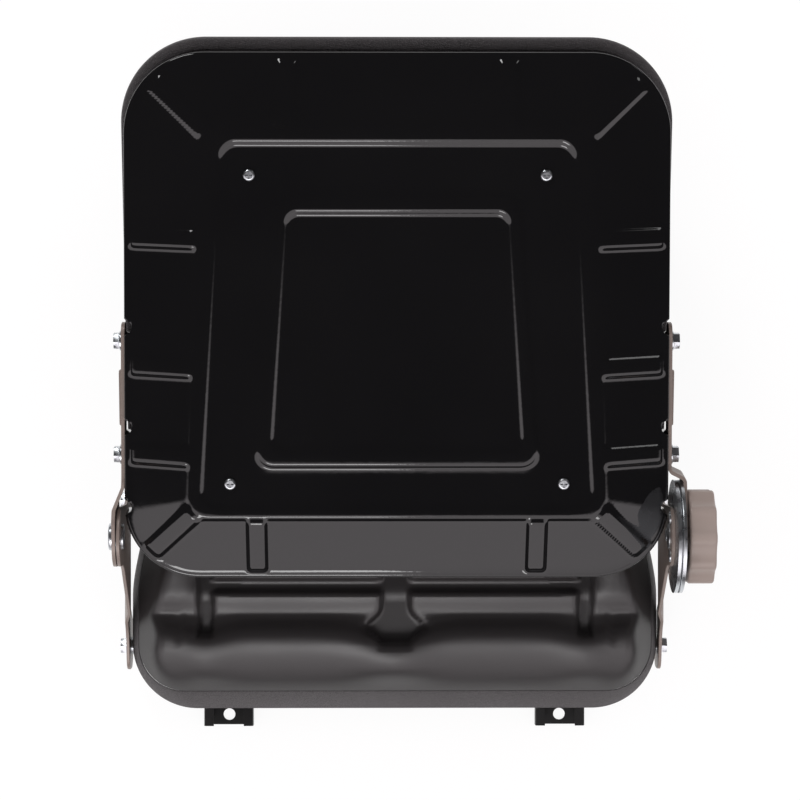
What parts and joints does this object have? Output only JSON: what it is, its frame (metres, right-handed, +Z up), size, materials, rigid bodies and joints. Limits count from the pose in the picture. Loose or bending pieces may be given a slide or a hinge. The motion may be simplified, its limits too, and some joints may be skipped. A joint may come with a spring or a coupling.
{
  "type": "vehicle seat",
  "caption": "Bolt-in tractor or fork lift seat with a folding backrest, a handwheel recliner and fore-and-aft slide rails, stored folded forward.",
  "frame": {"origin": "centre of the four mounting holes, in the plane of the undersides of the slide rails", "axes": "+Y forward, the way the seat faces; +Z up; +X to the sitter's right"},
  "size_m": [0.5297, 0.6178, 0.2856],
  "materials": {
    "gloss_black_paint": "gloss black stove enamel",
    "black_paint": "satin black paint",
    "taupe_paint": "satin taupe paint",
    "zinc_steel": "bright zinc plate",
    "bearing_steel": "polished",
    "black_vinyl": "satin formed vinyl",
    "grey_vinyl": "grained vinyl",
    "taupe_plastic": "satin moulded plastic",
    "white_nylon": "natural nylon",
    "black_rubber": "matt rubber",
    "birch_board": "plain plywood"
  },
  "bodies": {
    "lower_rails": {"left_lower_rail": "black_paint", "right_lower_rail": "black_paint"},
    "ball_cages": {"left_ball_cage": "white_nylon", "right_ball_cage": "white_nylon", "slide_balls": "bearing_steel", "slide_rollers": "bearing_steel"},
    "backrest": {"back_pan": "gloss_black_paint", "back_board": "birch_board", "back_cushion": "black_vinyl", "back_edge_band": "grey_vinyl", "back_pan_screws": "zinc_steel", "board_tee_nuts": "zinc_steel", "left_upper_bracket": "taupe_paint", "right_upper_bracket": "taupe_paint", "back_bracket_bolts": "zinc_steel", "back_bolt_washers": "zinc_steel", "back_weld_nuts": "zinc_steel", "recliner_moving_disc": "zinc_steel", "moving_disc_rivets": "zinc_steel"},
    "recliner_wheel": {"recliner_shaft": "zinc_steel", "handwheel": "taupe_plastic", "handwheel_cap": "taupe_plastic"},
    "slide_lever": {"lever_rod": "black_paint", "lever_grip": "black_rubber", "latch_plate": "black_paint"},
    "seat": {"fixed_disc_rivets": "zinc_steel", "front_bracket_spacers": "zinc_steel", "front_lever_ear": "black_paint", "latch_spring": "zinc_steel", "left_lower_bracket": "taupe_paint", "left_pivot_pin": "zinc_steel", "left_pivot_washer": "white_nylon", "left_upper_rail": "black_paint", "rear_bracket_spacers": "zinc_steel", "rear_lever_ear": "black_paint", "recliner_fixed_disc": "zinc_steel", "right_lower_bracket": "taupe_paint", "right_upper_rail": "black_paint", "seat_bolt_washers": "zinc_steel", "seat_bracket_bolts": "zinc_steel", "seat_cushion": "black_vinyl", "seat_edge_band": "grey_vinyl", "seat_pan": "black_paint", "seat_weld_nuts": "zinc_steel", "slide_bolts": "zinc_steel", "slide_nuts": "zinc_steel"}
  },
  "joints": [
    {"name": "seat_slide", "type": "slide", "parent": "lower_rails", "child": "seat", "axis": [0, 1, 0], "range_m": [-0.12, 0.03]},
    {"name": "ball_cage_slide", "type": "slide", "parent": "lower_rails", "child": "ball_cages", "axis": [0, 1, 0], "range_m": [-0.06, 0.015]},
    {"name": "backrest_fold", "type": "hinge", "parent": "seat", "child": "backrest", "pos_m": [0, -0.0283, 0.19], "axis": [1, 0, 0], "range_deg": [0, 98]},
    {"name": "handwheel_spin", "type": "hinge", "parent": "seat", "child": "recliner_wheel", "pos_m": [0.25, -0.0283, 0.19], "axis": [1, 0, 0], "range_deg": [0, 2940]},
    {"name": "lever_lift", "type": "hinge", "parent": "seat", "child": "slide_lever", "pos_m": [0.116, 0, 0.012], "axis": [0, -1, 0], "range_deg": [0, 6], "stiffness_Nm_per_rad": 2, "springref_deg": -11.46}
  ],
  "couplings": [
    {"joint": "ball_cage_slide", "follows": "seat_slide", "ratio": 0.5},
    {"joint": "handwheel_spin", "follows": "backrest_fold", "ratio": 30}
  ]
}
